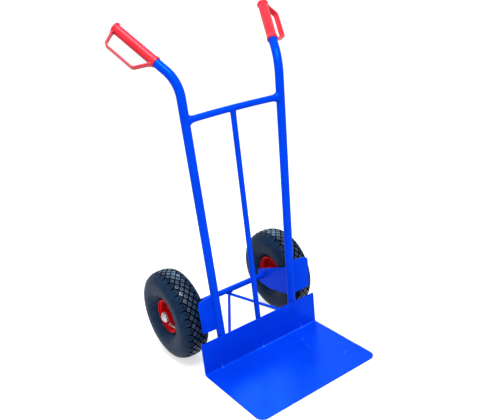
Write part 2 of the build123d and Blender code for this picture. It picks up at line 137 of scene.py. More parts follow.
# ======= meshes from arrays =======
class Shell:
    """Collects grids and flat caps of points as one mesh, each turned so that it faces outwards."""

    def __init__(self):
        self.points, self.quads, self.caps, self.shade, self.count = [], [], [], [], 0

    def many(self, points, round_u=False, round_v=True, shade=0.0):
        """Adds grids of one size at once: points is (pieces, rows, columns, 3).

        round_u and round_v join a grid's last row or column to its first. The faces are turned
        over when the first grid's signed volume, seen from its own middle, is negative.
        """
        pieces, rows, columns = points.shape[:3]
        index = np.arange(rows * columns).reshape(rows, columns)
        if round_u:
            index = np.vstack([index, index[:1]])
        if round_v:
            index = np.hstack([index, index[:, :1]])
        quads = np.stack([index[:-1, :-1], index[1:, :-1], index[1:, 1:], index[:-1, 1:]], -1)
        quads = quads.reshape(-1, 4)
        first = points[0].reshape(-1, 3)
        a, b, c, d = (first[quads[:, k]] - first.mean(0) for k in range(4))
        if np.einsum("ij,ij", a, np.cross(b, c)) + np.einsum("ij,ij", a, np.cross(c, d)) < 0:
            quads = quads[:, ::-1]
        every = quads[None] + (np.arange(pieces) * rows * columns)[:, None, None]
        self.points.append(points.reshape(-1, 3))
        self.quads.append(every.reshape(-1, 4) + self.count)
        self.shade.append(np.broadcast_to(shade, points.shape[:3]).reshape(-1))
        self.count += points.size // 3
        return self

    def grid(self, points, round_u=False, round_v=True, shade=0.0):
        """Adds one grid of points, (rows, columns, 3)."""
        return self.many(points[None], round_u, round_v, shade)

    def weld(self, path, away, radius, closed=False):
        """Adds a weld bead along a path."""
        return self.grid(bead(path, away, radius, closed), round_u=closed)

    def plate(self, outline, thickness_vector):
        """Adds a flat plate: an outline of points and its copy, half the thickness to either side."""
        low, high = outline - thickness_vector / 2, outline + thickness_vector / 2
        total = len(outline)
        here = np.arange(total)
        area = np.cross(np.roll(outline, -1, 0) - outline.mean(0), outline - outline.mean(0)).sum(0)
        order = here if area @ thickness_vector < 0 else here[::-1]
        low, high = low[order], high[order]
        after = (here + 1) % total
        self.points += [low, high]
        self.quads.append(np.stack([here, after, after + total, here + total], -1) + self.count)
        self.caps.append((here[::-1] + self.count).tolist())
        self.caps.append((here + total + self.count).tolist())
        self.shade.append(np.zeros(2 * total))
        self.count += 2 * total
        return self

    def mesh(self, name, sharp):
        """The whole shell as one mesh, shaded smooth except over edges sharper than the angle."""
        points = np.concatenate(self.points)
        quads = np.concatenate(self.quads)
        loops = np.concatenate([quads.reshape(-1), *self.caps]).astype(np.int32)
        sizes = np.concatenate([np.full(len(quads), 4), [len(cap) for cap in self.caps]]).astype(np.int32)
        starts = (np.cumsum(sizes) - sizes).astype(np.int32)
        mesh = bpy.data.meshes.new(name)
        mesh.vertices.add(len(points))
        mesh.vertices.foreach_set("co", points.astype(np.float32).reshape(-1))
        mesh.loops.add(len(loops))
        mesh.loops.foreach_set("vertex_index", loops)
        mesh.polygons.add(len(sizes))
        mesh.polygons.foreach_set("loop_start", starts)
        mesh.polygons.foreach_set("use_smooth", np.ones(len(sizes), bool))
        shade = mesh.attributes.new("shade", "FLOAT", "POINT")
        shade.data.foreach_set("value", np.concatenate(self.shade).astype(np.float32))
        mesh.update(calc_edges=True)
        close_seams(mesh)
        mesh.set_sharp_from_angle(angle=radians(sharp))
        return mesh


def close_seams(mesh):
    """Merges the points that a pole or a seam repeats, and drops the faces that this empties."""
    work = bmesh.new()
    work.from_mesh(mesh)
    bmesh.ops.remove_doubles(work, verts=work.verts, dist=2e-6)
    bmesh.ops.dissolve_degenerate(work, edges=work.edges, dist=1e-7)
    work.to_mesh(mesh)
    work.free()


def add(name, data):
    """A new object in the scene."""
    obj = bpy.data.objects.new(name, data)
    bpy.context.scene.collection.objects.link(obj)
    return obj


def place(name, shell, body, material, replaced=(), slot=None, sharp=40, bevel=0.0):
    """Makes an object of a shell, gives it its material and lets it ride on a body.

    A slot name is worked out, the material's name unless another is given, but the object is not given it.
    The frame brought materials with the slots' names, so Blender adds a number to these, which is left
    off.
    """
    obj = add(name, shell.mesh(name, sharp))
    obj.data.materials.append(material)
    if bevel:
        rounding = obj.modifiers.new("rounded_edges", "BEVEL")
        rounding.width, rounding.segments = bevel, 3
        rounding.limit_method, rounding.angle_limit = "ANGLE", radians(35)
        rounding.harden_normals = True
    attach(obj, body)
    slot = slot or material.name.split(".")[0]
    if replaced:
        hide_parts(*replaced)
    return obj


# ======= shapes =======
def unit(vector):
    """Vectors brought to length one."""
    vector = np.array(vector, float)
    return vector / np.linalg.norm(vector, axis=-1, keepdims=True)


def distances(points):
    """How far along a line of points each one lies."""
    return np.concatenate([[0], np.cumsum(np.linalg.norm(np.diff(points, axis=0), axis=1))])


def line_of(x, y, z):
    """Points in space; a single number holds for all of them."""
    return np.stack(np.broadcast_arrays(x, y, z), -1)


def arc_points(centre, start, sweep, count):
    """Points of a flat arc: centre plus start turned by even steps up to sweep."""
    angle = np.linspace(0, sweep, count)
    x, y = start
    return np.stack([centre[0] + x * np.cos(angle) - y * np.sin(angle),
                     centre[1] + x * np.sin(angle) + y * np.cos(angle)], -1)


def rounded(corners, radii, count=7, closed=True):
    """A flat outline whose corners are arcs; an open one keeps both its ends.

    Each arc starts at the corner minus the incoming direction times the radius times the tangent
    of half the turn, and its centre lies a radius to the inner side.
    """
    corners = np.array(corners, float)
    pieces = []
    for k, radius in enumerate(radii if closed else (0, *radii, 0)):
        corner = corners[k]
        if radius == 0:
            pieces.append(corner[None])
            continue
        arriving = unit(corner - corners[k - 1])
        leaving = unit(corners[(k + 1) % len(corners)] - corner)
        turn = atan2(arriving[0] * leaving[1] - arriving[1] * leaving[0], arriving @ leaving)
        begin = corner - arriving * radius * abs(tan(turn / 2))
        inner = np.array((-arriving[1], arriving[0])) * (1 if turn > 0 else -1)
        pieces.append(arc_points(begin + inner * radius, -inner * radius, turn, count))
    return np.concatenate(pieces)


def lathe(origin, axis, profile, segments=64):
    """A profile turned about an axis.

    Point (i, j) is origin + along_i * axis + radius_i * (cos a_j * side + sin a_j * other).
    """
    axis = unit(axis)
    side = unit(np.cross(axis, (0, 0, 1) if abs(axis[2]) < 0.9 else (1, 0, 0)))
    other = np.cross(axis, side)
    angle = np.arange(segments) * TURN / segments
    ring = np.cos(angle)[:, None] * side + np.sin(angle)[:, None] * other
    profile = np.array(profile, float)
    return np.array(origin) + profile[:, 0, None, None] * axis + profile[:, 1, None, None] * ring[None]


def carried(points, normal, stations, segments=48, tall=1.0):
    """A round profile carried along a flat path.

    points are the path's own places and normal is square to the path's plane. A station is
    (place along the path, radius), and its ring is the place plus radius times
    (tall * cos a * normal + sin a * tangent x normal).
    """
    length = distances(points)
    tangents = unit(np.gradient(points, length, axis=0))
    stations = np.array(stations, float)
    at = np.stack([np.interp(stations[:, 0], length, points[:, k]) for k in range(3)], -1)
    along = unit(np.stack([np.interp(stations[:, 0], length, tangents[:, k]) for k in range(3)], -1))
    normal = unit(normal)
    third = np.cross(along, normal)
    angle = np.arange(segments) * TURN / segments
    tall = np.broadcast_to(tall, len(stations))[:, None, None]
    ring = tall * np.cos(angle)[None, :, None] * normal + np.sin(angle)[None, :, None] * third[:, None]
    return at[:, None] + stations[:, 1, None, None] * ring


def bead(path, away, radius, closed=False, sides=10, ripple=0.12, pitch=0.0026):
    """A weld bead: a ring carried along a path, its radius rising and falling once a pitch.

    away points off the joint; the ring is path + radius * (1 + ripple * sin(2 pi s / pitch)) *
    (cos a * away + sin a * tangent x away).
    """
    s = distances(path)
    if closed:
        tangent = unit(np.roll(path, -1, 0) - np.roll(path, 1, 0))
    else:
        tangent = unit(np.gradient(path, axis=0))
    away = unit(away - (away * tangent).sum(-1, keepdims=True) * tangent)
    third = np.cross(tangent, away)
    size = radius * (1 + ripple * np.sin(TURN * s / pitch))
    if not closed:
        ends = np.minimum(s, s[-1] - s)
        size = size * np.sqrt(np.clip(ends / (1.2 * radius), 0, 1))
    angle = np.arange(sides) * TURN / sides
    ring = np.cos(angle)[None, :, None] * away[:, None] + np.sin(angle)[None, :, None] * third[:, None]
    return path[:, None] + size[:, None, None] * ring


# ======= shaders =======
class Value:
    """A number inside a shader, which can be used in ordinary arithmetic."""

    def __init__(self, finish, socket):
        self.finish, self.socket = finish, socket

    def __add__(self, other):
        return self.finish.sum("ADD", self, other)

    def __sub__(self, other):
        return self.finish.sum("SUBTRACT", self, other)

    def __rsub__(self, other):
        return self.finish.sum("SUBTRACT", other, self)

    def __mul__(self, other):
        return self.finish.sum("MULTIPLY", self, other)

    __radd__, __rmul__ = __add__, __mul__

    def rise(self, low, high):
        """0 below low and 1 above high, smoothly between them."""
        return self.finish.node("ShaderNodeMapRange", {"interpolation_type": "SMOOTHSTEP"},
                                {"Value": self, "From Min": low, "From Max": high}, "Result")


class Finish:
    """A material under construction: one Principled shader, its nodes and its sockets."""

    def __init__(self, name, **constants):
        self.material = bpy.data.materials.new(name)
        self.material.use_nodes = True
        self.tree = self.material.node_tree
        self.surface = self.tree.nodes["Principled BSDF"]
        for socket, value in constants.items():
            self.surface.inputs[socket.replace("_", " ")].default_value = value

    def node(self, kind, settings, inputs, output):
        """Adds a node, joins or sets its inputs, and returns one of its outputs."""
        made = self.tree.nodes.new(kind)
        for setting, value in settings.items():
            setattr(made, setting, value)
        for socket, value in inputs.items():
            self.join(made.inputs[socket], value)
        return Value(self, made.outputs[output])

    def join(self, socket, value):
        """Links a value to a socket, or sets a plain number or colour there."""
        if isinstance(value, Value):
            self.tree.links.new(value.socket, socket)
        else:
            socket.default_value = value

    def sum(self, operation, first, second):
        """One Math node."""
        return self.node("ShaderNodeMath", {"operation": operation}, {0: first, 1: second}, 0)

    def place(self, scale=(1, 1, 1), turn=(0, 0, 0)):
        """Object coordinates in metres, stretched and turned."""
        here = self.node("ShaderNodeTexCoord", {}, {}, "Object")
        return self.node("ShaderNodeMapping", {}, {"Vector": here, "Scale": scale, "Rotation": turn}, 0)

    def noise(self, scale, detail=2.0, roughness=0.5, where=None):
        """Soft noise with this many waves to the metre."""
        return self.node("ShaderNodeTexNoise", {},
                         {"Vector": where or self.place(), "Scale": scale, "Detail": detail,
                          "Roughness": roughness}, 0)

    def mix(self, factor, first, second):
        """One colour turning into another."""
        return self.node("ShaderNodeMix", {"data_type": "RGBA"}, {0: factor, 6: first, 7: second}, 2)

    def bump(self, height, distance, strength=1.0):
        """Lets a height in the given distance move the normal."""
        self.feed("Normal", self.node("ShaderNodeBump", {},
                                      {"Strength": strength, "Distance": distance, "Height": height}, 0))

    def feed(self, socket, value):
        """Drives one of the Principled shader's own sockets."""
        self.join(self.surface.inputs[socket], value)


def colour(red, green, blue):
    """A linear colour, opaque."""
    return (red, green, blue, 1.0)


def enamel(name, base, pale, deep, glint, scuffs=0.0, marks_and_highlights_on=None, shine=0.26):
    """Glossy sprayed paint: slow changes of tone, a fine orange peel, a few pale scuffs, and any further
    pale marks from the function passed in, which may be painted highlights.
    """
    paint = Finish(name, IOR=1.12, Specular_Tint=glint, Metallic=shine)
    slow = paint.noise(9.0, 3.0)
    tone = paint.mix(slow.rise(0.35, 0.7), deep, base)
    wear = paint.noise(140.0, 6.0, 0.65)
    patches = paint.noise(14.0, 2.0).rise(0.5, 0.72)
    nicks = wear.rise(0.66, 0.72) * patches * scuffs
    streaks = paint.noise(30.0, 3.0, 0.6, paint.place((38, 1.6, 1.6), (0, 0, 0.5))).rise(0.68, 0.74)
    marks_and_highlights = nicks + streaks * patches * scuffs
    # The function passed in adds its own pale marks; on the toe plate these are real scratches plus
    # painted highlights.
    if marks_and_highlights_on:
        marks_and_highlights = marks_and_highlights + marks_and_highlights_on(paint)
    paint.feed("Base Color", paint.mix(marks_and_highlights, tone, pale))
    paint.feed("Roughness", 0.26 + 0.14 * paint.noise(36.0, 4.0) + 0.3 * marks_and_highlights)
    peel = paint.noise(620.0, 1.0) * 0.5 + paint.noise(60.0, 2.0) * 1.5 - marks_and_highlights * 0.6
    paint.bump(peel, 0.00012, 0.35)
    return paint.material


def rubber_tread():
    """Tyre rubber: matt, dusty on the block tops, with painted shade darkening the grooves and dimples
    where the shade attribute is low.
    """
    rubber = Finish("tyre_rubber", IOR=1.14, Specular_Tint=colour(0.42, 0.68, 1.0),
                    Coat_Roughness=0.38, Coat_IOR=1.60)
    top = rubber.node("ShaderNodeAttribute", {"attribute_name": "shade"}, {}, "Fac")
    dust = rubber.noise(75.0, 5.0, 0.6).rise(0.35, 0.75)
    worn = rubber.mix(dust * 0.6 + 0.25, colour(0.0040, 0.0110, 0.0300), colour(0.0120, 0.0340, 0.0760))
    # Painted shade: a low shade value turns the colour near black, in the grooves and the dimples.
    rubber.feed("Base Color", rubber.mix(top.rise(0.3, 0.95), colour(0.0010, 0.0022, 0.0050), worn))
    rubber.feed("Roughness", 0.36 + 0.2 * dust)
    rubber.feed("Coat Weight", top.rise(0.75, 1.0) * 0.65)
    grain = rubber.noise(850.0, 3.0) + rubber.noise(160.0, 3.0) * 0.7
    rubber.bump(grain, 0.00025, 0.4)
    return rubber.material


def moulded(name, base, deep, rough, grain=700.0, glint=(1.0, 1.0, 1.0, 1.0)):
    """Moulded plastic or rubber: even colour with a faint cloud and a fine skin."""
    plastic = Finish(name, IOR=1.40, Specular_Tint=glint)
    cloud = plastic.noise(26.0, 3.0).rise(0.3, 0.75)
    plastic.feed("Base Color", plastic.mix(cloud, deep, base))
    plastic.feed("Roughness", rough + 0.12 * plastic.noise(60.0, 4.0))
    plastic.bump(plastic.noise(grain, 2.0), 0.0001, 0.2)
    return plastic.material


def metal(name, base, stained, rough, brushed=(1, 1, 1)):
    """Plated or polished metal with fine drawn lines and a few duller patches."""
    plated = Finish(name, Metallic=1.0)
    patches = plated.noise(48.0, 4.0).rise(0.4, 0.75)
    lines = plated.noise(420.0, 3.0, 0.55, plated.place(brushed))
    plated.feed("Base Color", plated.mix(patches, base, stained))
    plated.feed("Roughness", rough + 0.16 * patches + 0.1 * lines)
    plated.bump(lines, 0.00008, 0.3)
    return plated.material


# Each scratch: its middle's x and y, its direction and half its length.
SCRATCHES = ((0.123, -0.077, 0.5, 0.010), (0.107, -0.127, 1.9, 0.006), (0.113, -0.112, 0.9, 0.005),
             (0.171, -0.229, 0.35, 0.013), (-0.080, -0.205, 2.4, 0.008))


def toe_scratches_and_highlights(paint):
    """Short curved scratches where loads have slid, a painted highlight along the fold, and painted
    highlights at the stiffeners where the dented fold catches the light.
    """
    x, y, z = (paint.node("ShaderNodeSeparateXYZ", {}, {"Vector": paint.place()}, k) for k in "XYZ")
    total = 0.0
    for across, along, turn, half in SCRATCHES:
        u = (x - across) * cos(turn) + (y - along) * sin(turn)
        v = (y - along) * cos(turn) - (x - across) * sin(turn) + u * u * (0.072 / half)
        ends = 1.0 - (u * u).rise(half * half * 0.4, half * half)
        total = total + (1.0 - (v * v).rise(0.0, 0.0000008)) * ends
    # Painted highlight: a thin pale line along the fold, broken up by noise.
    fold_y, fold_z = y - (TOE_BACK - SHEET), z - SHEET
    fold_highlight = 1.0 - (fold_y * fold_y + fold_z * fold_z).rise(0.000002, 0.000016)
    total = total + fold_highlight * paint.noise(9.0, 2.0).rise(0.42, 0.6) * 0.3
    # Painted highlights at each stiffener: a short upright line on the flange and a smudge on the plate,
    # where the dented fold catches the light.
    for seam in SEAMS:
        off = (x - seam) * (x - seam)
        upright_highlight = (1.0 - off.rise(0.0, 0.0000040)) * (1.0 - z.rise(0.006, 0.030))
        upright_highlight = upright_highlight * y.rise(TOE_BACK - 0.009, TOE_BACK - 0.004)
        lying_highlight = (1.0 - off.rise(0.0, 0.00003)) * y.rise(TOE_BACK - 0.030, TOE_BACK - 0.010)
        lying_highlight = lying_highlight * (1.0 - z.rise(0.003, 0.006)) * paint.noise(170.0, 2.0).rise(0.5, 0.6)
        total = total + upright_highlight * 0.55 + lying_highlight * 0.35
    return total * 0.7


BLUE = (colour(0.0003, 0.0420, 0.58), colour(0.05, 0.25, 0.78), colour(0.0002, 0.0360, 0.51),
        colour(0.04, 0.42, 1.0))
blue = enamel("blue_enamel", *BLUE, scuffs=0.4)
toe_blue = enamel("blue_enamel_toe", *BLUE, scuffs=0.25, marks_and_highlights_on=toe_scratches_and_highlights)
red_rim = enamel("red_rim", colour(0.50, 0.0040, 0.008), colour(0.56, 0.08, 0.08),
                 colour(0.42, 0.0030, 0.006), colour(1.0, 0.22, 0.26), scuffs=0.25)
red_vinyl = moulded("red_vinyl", colour(0.52, 0.018, 0.030), colour(0.45, 0.013, 0.022), 0.26,
                    glint=colour(1.0, 0.34, 0.46))
tread_rubber = rubber_tread()
tube_rubber = moulded("tube_rubber", colour(0.02, 0.02, 0.022), colour(0.012, 0.012, 0.014), 0.5)
nylon = moulded("bush_nylon", colour(0.40, 0.38, 0.33), colour(0.33, 0.31, 0.27), 0.42)
zinc = metal("zinc_steel", colour(0.42, 0.43, 0.45), colour(0.30, 0.30, 0.31), 0.28, (1, 6, 6))
bright = metal("bright_cap", colour(0.46, 0.47, 0.49), colour(0.34, 0.35, 0.37), 0.22)
valve_brass = metal("valve_metal", colour(0.52, 0.42, 0.38), colour(0.38, 0.30, 0.27), 0.22)
cap_plastic = moulded("valve_cap", colour(0.42, 0.20, 0.22), colour(0.36, 0.15, 0.17), 0.32)


# ======= tubes =======
def polyline_bend(points, radius, step=0.004):
    """Points of a line through three corners, with an arc of the given radius at the middle one."""
    first, middle, last = points
    arriving, leaving = unit(middle - first), unit(last - middle)
    turn = np.arccos(arriving @ leaving)
    begin = middle - arriving * radius * tan(turn / 2)
    inner = unit(leaving - arriving * (leaving @ arriving))
    angle = np.linspace(0, turn, 41)[:, None]
    curve = begin + radius * (np.sin(angle) * arriving + (1 - np.cos(angle)) * inner)
    straight = np.linspace(0, 1, int(np.linalg.norm(begin - first) / step))[:-1, None]
    tail = np.linspace(0, 1, int(np.linalg.norm(last - curve[-1]) / step))[1:, None]
    return np.concatenate([first + straight * (begin - first), curve,
                           curve[-1] + tail * (last - curve[-1])])


def open_end(radius, depth=0.035, lip=0.0005):
    """Stations of a tube's open lower end: up the bore, over the rounded edge and out."""
    bore = radius - TUBE_WALL
    return [(depth, 0.0), (depth, bore), (lip, bore), (lip * 0.2, bore + lip * 0.7),
            (0.0, bore + 2 * lip), (0.0, radius - 2 * lip), (lip * 0.2, radius - lip * 0.4), (lip, radius)]


def side_half(height):
    """How far a side tube's middle line is from the truck's middle at a height."""
    return SIDE_AT_GROUND + SIDE_SPLAY * height


def side_point(side, height):
    """A side tube's middle at a height, below the bend."""
    return np.array((side * side_half(height), SIDE_Y, height))


handle_length = np.linalg.norm(HANDLE_REACH)


def handle_axis(side):
    """The direction of a handle above the bend."""
    return HANDLE_REACH * (side, 1, 1) / handle_length


for side, word in SIDES:
    bend = side_point(side, BEND_HEIGHT)
    path = polyline_bend((side_point(side, TUBE_FOOT), bend,
                          bend + handle_axis(side) * (handle_length - GRIP_WALL - 0.0005)), BEND_RADIUS)
    length = distances(path)[-1]
    along = np.linspace(0.02, length - 0.0008, 330)
    stations = open_end(SIDE_RADIUS) + [(s, SIDE_RADIUS) for s in along] + \
        [(length, SIDE_RADIUS - 0.0006), (length, 0.0)]
    normal = np.cross((side * SIDE_SPLAY, 0, 1), handle_axis(side))
    place(f"tube_side_{word}", Shell().grid(carried(path, normal, stations, 56)), "frame", blue,
          (f"side_tube_{word}",))

# The cross tube is an arc through its two ends and a middle that lies CROSS_BOW further back.
chord = side_half(CROSS_HEIGHT)
bow_radius = (chord**2 + CROSS_BOW**2) / (2 * CROSS_BOW)
bow_angle = np.linspace(-1, 1, 161) * np.arcsin(chord / bow_radius)
bow = line_of(bow_radius * np.sin(bow_angle),
              SIDE_Y + CROSS_BOW - bow_radius * (1 - np.cos(bow_angle)), CROSS_HEIGHT)
bow_length = distances(bow)[-1]
s = np.linspace(0.006, bow_length - 0.006, 220)
from_end = np.minimum(s, bow_length - s) - SIDE_RADIUS
near_end = np.exp(-np.clip(from_end, 0, None) / 0.0065)
stations = [(s[0], 0.0), *zip(s, CROSS_RADIUS + 0.0016 * near_end), (s[-1], 0.0)]
tall = 1 + 0.45 * np.concatenate([near_end[:1], near_end, near_end[-1:]])
place("tube_cross", Shell().grid(carried(bow, (0, 0, 1), stations, 48, tall)), "frame", blue,
      ("upper_cross_tube",))

centre_foot = np.array((0, TOE_BACK + CENTRE_RADIUS + 0.00005, TUBE_FOOT))
centre_top = np.array((0, SIDE_Y + CROSS_BOW, CROSS_HEIGHT))
centre_line = centre_foot + np.linspace(0, 1, 3)[:, None] * (centre_top - centre_foot)
centre_length = np.linalg.norm(centre_top - centre_foot)
s = np.linspace(0.02, centre_length - 0.004, 200)
flare = CENTRE_RADIUS + 0.0012 * np.exp(-np.clip(centre_length - CROSS_RADIUS - s, 0, None) / 0.005)
stations = open_end(CENTRE_RADIUS) + [*zip(s, flare), (s[-1], 0.0)]
place("tube_centre", Shell().grid(carried(centre_line, (1, 0, 0), stations, 44)), "frame",
      blue, ("centre_tube",))

rod_top = AXLE - (0, 0, AXLE_RADIUS + ROD_RADIUS)
rod_top[0] = 0
for side, word in SIDES:
    foot = ROD_FOOT * (side, 1, 1)
    rod = foot + np.linspace(0, 1, 3)[:, None] * (rod_top - foot)
    length = np.linalg.norm(rod_top - foot)
    stations = [(0, 0), (0, ROD_RADIUS), *((s, ROD_RADIUS) for s in np.linspace(0.002, length, 60)),
                (length, 0)]
    place(f"rod_{word}", Shell().grid(carried(rod, (0, 0, 1), stations, 24)), "frame", blue,
          (f"brace_rod_{word}",))


# ======= toe plate =======
def toe_sheet():
    """Middle surface of the folded sheet.

    v runs along the sheet's section from the front edge over the fold to the flange's top, and u
    from -1 to 1 across it. The half width at v is W - r + sqrt(r^2 - (r - d)^2) where the
    distance d to the nearer edge is less than that edge's corner radius r.
    """
    flat = TOE_BACK - SHEET / 2 - FOLD_RADIUS - TOE_FRONT
    height = FLANGE_TOP - SHEET / 2 - FOLD_RADIUS
    quarter = FOLD_RADIUS * pi / 2
    total = flat + quarter + height
    v = np.concatenate([
        TOE_CORNER * (1 - np.cos(np.linspace(0, pi / 2, 12))),
        np.linspace(TOE_CORNER, flat, 60)[1:],
        flat + np.linspace(0, quarter, 13)[1:],
        np.linspace(flat + quarter, total - FLANGE_CORNER, 26)[1:],
        total - FLANGE_CORNER * (1 - np.sin(np.linspace(0, pi / 2, 7)))[1:],
    ])
    half = np.full_like(v, TOE_HALF)
    for corner, past in ((TOE_CORNER, v), (FLANGE_CORNER, total - v)):
        near = past < corner
        half[near] += np.sqrt(np.clip(corner**2 - (corner - past[near])**2, 0, None)) - corner
    u = np.linspace(-1, 1, 121)
    angle = np.clip((v - flat) / FOLD_RADIUS, 0, pi / 2)
    y = TOE_FRONT + np.minimum(v, flat) + FOLD_RADIUS * np.sin(angle)
    z = SHEET / 2 + FOLD_RADIUS * (1 - np.cos(angle)) + np.clip(v - flat - quarter, 0, None)
    x = half[:, None] * u[None]
    # The stiffeners' welds pull the sheet in a little, on both sides of the fold.
    pull = sum(np.exp(-((x - at) / 0.006)**2) for at in SEAMS)
    above, before = (v - flat - quarter)[:, None], (flat - v)[:, None]
    dent = 0.0007 * pull * np.clip(above / 0.008, 0, 1)
    dent = dent * np.exp(-(np.clip(above - 0.012, 0, None) / 0.028)**2)
    dip = 0.0006 * pull * np.clip(before / 0.006, 0, 1)
    dip = dip * np.exp(-(np.clip(before - 0.006, 0, None) / 0.014)**2)
    wave = 0.0003 * np.sin(9 * x + 24 * v[:, None]) * np.sin(np.clip(v / flat, 0, 1) * pi)[:, None]
    return np.stack([x, y[:, None] + dent, z[:, None] + wave - dip], -1)


toe = place("toe_sheet", Shell().grid(toe_sheet(), round_v=False), "frame", toe_blue, ("toe_plate",),
            "blue_enamel", sharp=30)
thick = toe.modifiers.new("sheet", "SOLIDIFY")
thick.thickness, thick.offset, thick.use_even_offset = SHEET, 0.0, True
edge = toe.modifiers.new("rounded_edges", "BEVEL")
edge.width, edge.segments, edge.limit_method, edge.angle_limit = 0.0006, 3, "ANGLE", radians(50)


# ======= plates on the tubes =======
bracket_x = side_half(AXLE[2] + 0.03)
front = SIDE_Y + 0.008
bracket_corners = [(front, 0.235), (AXLE[1] + 0.024, 0.168), (AXLE[1] + 0.024, 0.119),
                   (AXLE[1] - 0.037, 0.112), (front, 0.131)]
bracket_outline = rounded(bracket_corners, [0, 0.004, 0.016, 0.060, 0], 11)
guard_outline = rounded([(0.008, 0.137), (GUARD_REACH, 0.150), (GUARD_REACH, 0.260), (0.008, 0.260)],
                        [0, 0.008, 0.014, 0], 9)


def guard_frame(side):
    """Origin, outward, upward and normal directions of a wheel guard's flat plate."""
    along = unit((side * SIDE_SPLAY, 0, 1))
    normal = unit(np.cross((side * cos(GUARD_TURN), -sin(GUARD_TURN), 0), along))
    return np.array((side * SIDE_AT_GROUND, SIDE_Y, 0)), np.cross(along, normal), along, normal


for side, word in SIDES:
    points = line_of(side * bracket_x, *bracket_outline.T)
    place(f"bracket_{word}", Shell().plate(points, np.array((PLATE, 0, 0))), "frame", blue,
          (f"axle_bracket_{word}",), bevel=0.0007)
    origin, out, along, normal = guard_frame(side)
    points = origin + guard_outline[:, :1] * out + guard_outline[:, 1:] * along
    place(f"guard_{word}", Shell().plate(points, normal * PLATE), "frame", blue,
          (f"wheel_guard_{word}",), bevel=0.0008)

# ======= welds =======
welds = Shell()
turn = np.arange(120) * TURN / 120


def ring_where_tubes_meet(point, pipe, branch, pipe_radius, branch_radius):
    """The closed line where a branch tube's skin meets a pipe's skin, and its outward direction.

    Round the branch, at the angle a, the line lies sqrt(R^2 - (r sin a)^2) from the pipe's axis.
    """
    side = np.cross(pipe, branch)
    ring = branch_radius * (np.cos(turn)[:, None] * pipe + np.sin(turn)[:, None] * side)
    reach = np.sqrt(pipe_radius**2 - np.clip(branch_radius * np.sin(turn), -pipe_radius, pipe_radius)**2)
    line = point + ring + reach[:, None] * branch
    return line, unit(ring) + branch


def flange_beads(side, at_ground, splay, reach, radius):
    """Beads up the back of the flange on both flanks of a tube."""
    z = np.linspace(0.014, FLANGE_TOP - 0.003, 150)
    for flank in (-1, 1):
        x = side * (at_ground + splay * z) + flank * reach
        line = line_of(x, TOE_BACK + 0.0008, z)
        welds.weld(line, (flank * 0.8, 0.6, 0.0), radius)


for side, word in SIDES:
    up = unit((side * SIDE_SPLAY, 0, 1))
    inward = np.array((-side * cos(bow_angle[-1]), sin(bow_angle[-1]), 0))
    inward = unit(inward - (inward @ up) * up)
    line, away = ring_where_tubes_meet(side_point(side, CROSS_HEIGHT), up, inward, SIDE_RADIUS,
                                       CROSS_RADIUS + 0.002)
    welds.weld(line, away, 0.0019, closed=True)
    flange_beads(side, SIDE_AT_GROUND, SIDE_SPLAY, 0.0068, 0.0022)
    # Brackets: down both faces where the plate meets the tube, and round the axle.
    z = np.linspace(0.134, 0.231, 130)
    for face in (-1, 1):
        x = side * bracket_x + face * (PLATE / 2 + 0.0003)
        offset = x - side * side_half(z)
        y = SIDE_Y + np.sqrt(np.clip(SIDE_RADIUS**2 - offset**2, 0, None)) + 0.0004
        line = line_of(x, y, z)
        welds.weld(line, (face, 0.8, 0.0), 0.0022)
        ring = line_of(0, np.cos(turn), np.sin(turn))
        line = (side * bracket_x + face * PLATE / 2, AXLE[1], AXLE[2]) + ring * (AXLE_RADIUS + 0.0006)
        if face != side:
            welds.weld(line, ring + (face, 0, 0), 0.0024, closed=True)
    # Guards: short runs of weld at the top and the foot on the front face, a long one behind.
    origin, out, along, normal = guard_frame(side)
    front_face = normal * (-1 if normal[1] > 0 else 1)
    for low, high, face in ((0.226, 0.2585, front_face), (0.141, 0.170, front_face),
                            (0.142, 0.256, -front_face)):
        v = np.linspace(low, high, int((high - low) / 0.0006))
        reach = sqrt(SIDE_RADIUS**2 - (PLATE / 2)**2) + 0.0004
        line = origin + reach * out + v[:, None] * along + face * (PLATE / 2 + 0.0002)
        welds.weld(line, face + 0.8 * out, 0.0023)
    # Brace rods: their slanted section on the flange is an ellipse.
    foot = ROD_FOOT * (side, 1, 1)
    reach = unit(rod_top - foot)
    slope = unit((reach[0], 0, reach[2]))
    ring = np.cos(turn)[:, None] * slope * min(1 / reach[1], 3) + \
        np.sin(turn)[:, None] * np.cross(slope, (0, 1, 0))
    line = foot + (0, 0.0008, 0) + ring * (ROD_RADIUS + 0.0005)
    welds.weld(line, ring + (0, 0.8, 0), 0.0016, closed=True)

# Centre tube: at the cross tube, and on both flanks behind the flange.
up = unit(centre_top - centre_foot)
line, away = ring_where_tubes_meet(centre_top, np.array((1.0, 0, 0)), -up, CROSS_RADIUS,
                                   CENTRE_RADIUS - 0.0002)
welds.weld(line, away, 0.0017, closed=True)
flange_beads(0, 0, 0, 0.0054, 0.0020)
# The rods' tops, under the axle.
x = np.linspace(-0.014, 0.014, 50)
for flank in (-1, 1):
    line = line_of(x, AXLE[1] + flank * 0.0034, AXLE[2] - AXLE_RADIUS - 0.0008)
    welds.weld(line, (0, flank, -0.6), 0.0022)
place("weld_beads", welds, "frame", blue, (), "blue_enamel")


# ======= axle and its rings =======
def turned(side, profile, segments=96):
    """A closed profile of (distance from the truck's middle, radius) turned about the axle."""
    profile = np.array(profile, float) * (side, 1)
    return lathe((0, AXLE[1], AXLE[2]), (1, 0, 0), profile, segments)


def ring_profile(low, high, bore, radius, edge=0.0004):
    """Closed section of a ring with rounded outer edges."""
    return rounded([(low, bore), (high, bore), (high, radius), (low, radius)],
                   [edge / 2, edge / 2, edge, edge], 4)


s = np.linspace(-AXLE_END + 0.001, AXLE_END - 0.001, 90)
shaft = [(-AXLE_END, 0), (-AXLE_END, AXLE_RADIUS - 0.001), *((v, AXLE_RADIUS) for v in s),
         (AXLE_END, AXLE_RADIUS - 0.001), (AXLE_END, 0)]
place("axle", Shell().grid(turned(1, shaft, 48)), "frame", blue,
      ("axle_shaft",), sharp=30)

